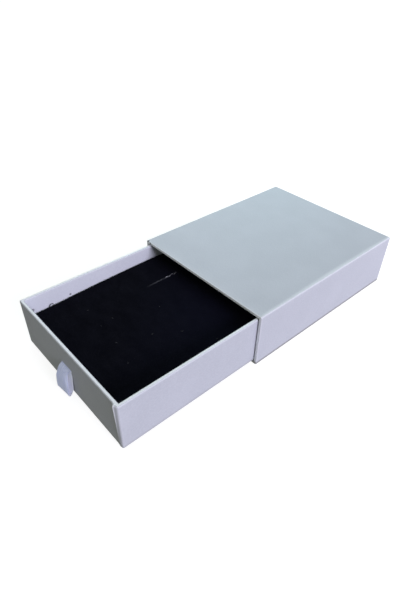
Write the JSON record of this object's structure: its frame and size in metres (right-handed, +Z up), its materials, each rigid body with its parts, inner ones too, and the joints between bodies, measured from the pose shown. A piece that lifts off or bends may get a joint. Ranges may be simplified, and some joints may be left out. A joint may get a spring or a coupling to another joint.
{
  "type": "jewelry gift box",
  "caption": "Slide-out jewelry gift box: a paper-wrapped board sleeve, a wrapped drawer with a ribbon pull, and a velvet-covered foam pad with a slit for a ring or necklace.",
  "frame": {"origin": "centre of the sleeve's base face, on the surface that the box stands on", "axes": "+Z up, +Y along the sleeve towards its closed back, so the drawer pulls out along -Y, and +X to the right as seen facing the drawer's front"},
  "size_m": [0.08, 0.1734, 0.028],
  "materials": {
    "pearl_paper": "satin",
    "greyboard": "matte",
    "stay_tape": "matte",
    "satin_ribbon": "satin",
    "foam": "matte",
    "velvet": "matte"
  },
  "bodies": {
    "sleeve": {"sleeve_top_board": "greyboard", "sleeve_bottom_board": "greyboard", "sleeve_left_board": "greyboard", "sleeve_right_board": "greyboard", "sleeve_back_board": "greyboard", "sleeve_edge_tapes": "stay_tape", "sleeve_wrap_paper": "pearl_paper", "sleeve_base_paper": "pearl_paper", "sleeve_lining_paper": "pearl_paper"},
    "drawer": {"drawer_floor_board": "greyboard", "drawer_front_board": "greyboard", "drawer_back_board": "greyboard", "drawer_left_board": "greyboard", "drawer_right_board": "greyboard", "drawer_corner_tapes": "stay_tape", "drawer_wrap_paper": "pearl_paper", "drawer_lining_paper": "pearl_paper", "ribbon_tails": "satin_ribbon", "ribbon_anchor_tape": "stay_tape"},
    "ribbon": {"ribbon_loop": "satin_ribbon"},
    "pad": {"pad_foam": "foam", "pad_velvet": "velvet"}
  },
  "joints": [
    {"name": "drawer_slide", "type": "slide", "parent": "sleeve", "child": "drawer", "axis": [0, -1, 0], "range_m": [-0.07, 0.03]},
    {"name": "pad_lift", "type": "slide", "parent": "drawer", "child": "pad", "axis": [0, 0, 1], "range_m": [0, 0.007]},
    {"name": "ribbon_swing", "type": "hinge", "parent": "drawer", "child": "ribbon", "pos_m": [0, -0.1204, 0.0153], "axis": [-1, 0, 0], "range_deg": [0, 90]}
  ]
}
